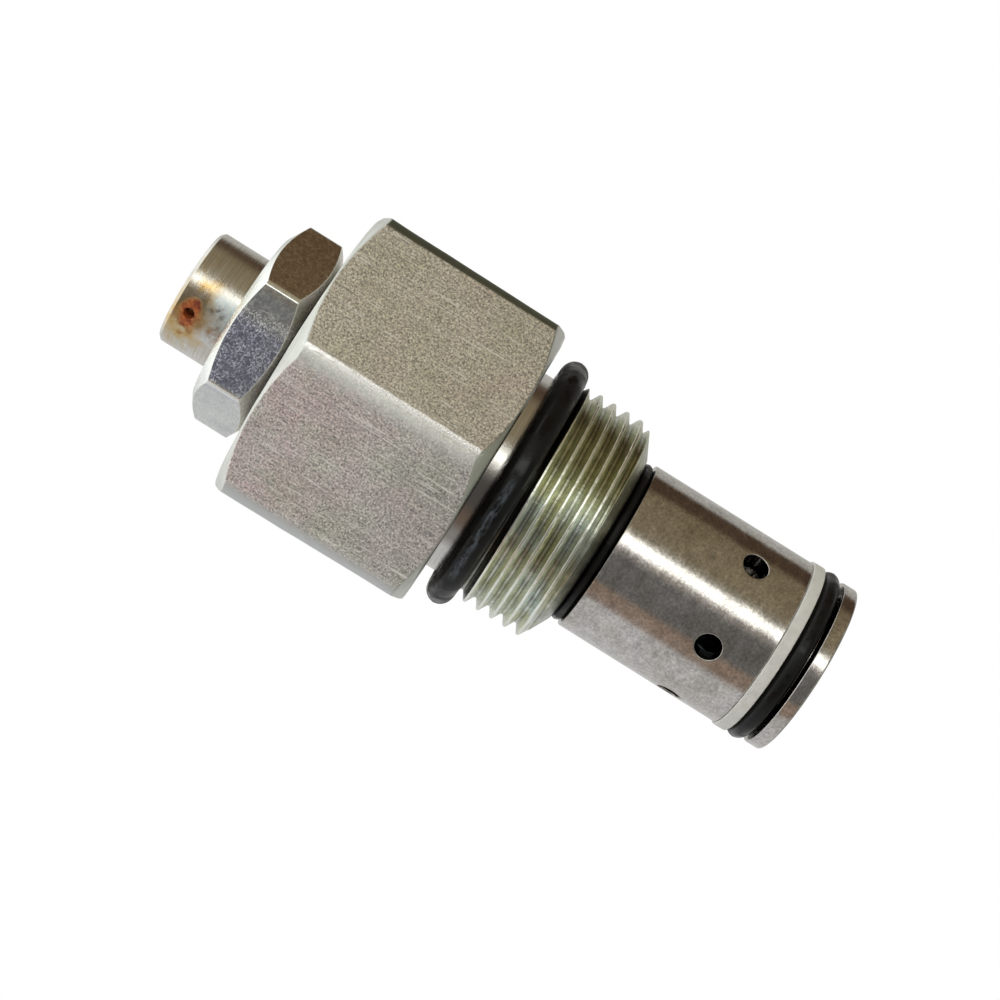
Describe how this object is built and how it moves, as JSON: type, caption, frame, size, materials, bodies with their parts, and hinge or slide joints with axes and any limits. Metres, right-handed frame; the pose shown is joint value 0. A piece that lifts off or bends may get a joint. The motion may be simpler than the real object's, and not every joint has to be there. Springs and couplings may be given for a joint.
{
  "type": "hydraulic cartridge valve",
  "caption": "Screw-in pilot-operated hydraulic relief cartridge valve with hexagon plug, threaded shank, ported sleeve, seals and a locked pressure adjusting screw.",
  "frame": {"origin": "centre of the hexagon's underside, the face that seats on the manifold", "axes": "+Z along the valve's axis from the nose to the adjusting screw; two hexagon corners lie on Y"},
  "size_m": [0.03, 0.034, 0.0697],
  "materials": {
    "zinc_steel": "zinc-plated forged and turned steel, satin",
    "nut_steel": "zinc-plated steel, satin with tool marks",
    "screw_steel": "turned steel, fine turning marks",
    "ground_steel": "hardened and ground steel, semi-gloss",
    "hard_steel": "hardened steel, satin",
    "spring_steel": "spring wire, satin",
    "nitrile": "black nitrile, semi-gloss",
    "ptfe": "white PTFE, matte"
  },
  "bodies": {
    "cartridge_body": {"plug_body": "zinc_steel", "sleeve": "ground_steel", "pilot_seat": "hard_steel", "pilot_seat_seal": "nitrile", "port_seal": "nitrile", "junction_seal": "nitrile", "nose_backup_ring": "ptfe", "nose_seal": "nitrile", "main_spring": "spring_steel", "pilot_spring": "spring_steel"},
    "spring_seat": {"spring_seat": "hard_steel", "spring_shim": "hard_steel"},
    "adjuster": {"adjuster_screw": "screw_steel", "adjuster_seal": "nitrile", "adjuster_backup_ring": "ptfe", "adjuster_stop_clip": "spring_steel"},
    "nut_washer": {"nut_seal_washer": "nitrile"},
    "lock_nut": {"lock_nut": "nut_steel"},
    "main_poppet": {"main_poppet": "ground_steel", "orifice_screw": "hard_steel", "strainer": "hard_steel", "strainer_clip": "spring_steel"},
    "pilot_poppet": {"pilot_poppet": "hard_steel"}
  },
  "joints": [
    {"name": "setting_travel", "type": "slide", "parent": "cartridge_body", "child": "spring_seat", "axis": [0, 0, 1], "range_m": [-0.0015, 0.0015], "deforming": ["pilot_spring"]},
    {"name": "adjuster_turn", "type": "hinge", "parent": "spring_seat", "child": "adjuster", "pos_m": [0, 0, 0.02], "axis": [0, 0, 1], "range_deg": [-540, 540]},
    {"name": "nut_lift", "type": "slide", "parent": "cartridge_body", "child": "nut_washer", "axis": [0, 0, 1], "range_m": [0, 0.0005]},
    {"name": "nut_turn", "type": "hinge", "parent": "nut_washer", "child": "lock_nut", "pos_m": [0, 0, 0.02445], "axis": [0, 0, 1], "range_deg": [0, 180]},
    {"name": "main_poppet_lift", "type": "slide", "parent": "cartridge_body", "child": "main_poppet", "axis": [0, 0, 1], "range_m": [0, 0.0019], "stiffness_N_per_m": 1370, "springref_m": -0.0036, "deforming": ["main_spring"]},
    {"name": "pilot_poppet_lift", "type": "slide", "parent": "cartridge_body", "child": "pilot_poppet", "axis": [0, 0, 1], "range_m": [0, 0.0006], "stiffness_N_per_m": 5640, "springref_m": -0.008, "deforming": ["pilot_spring"]}
  ],
  "couplings": [
    {"joint": "setting_travel", "follows": "adjuster_turn", "m_per_rad": 0.00015915},
    {"joint": "nut_lift", "follows": "nut_turn", "m_per_rad": 0.00015915}
  ]
}
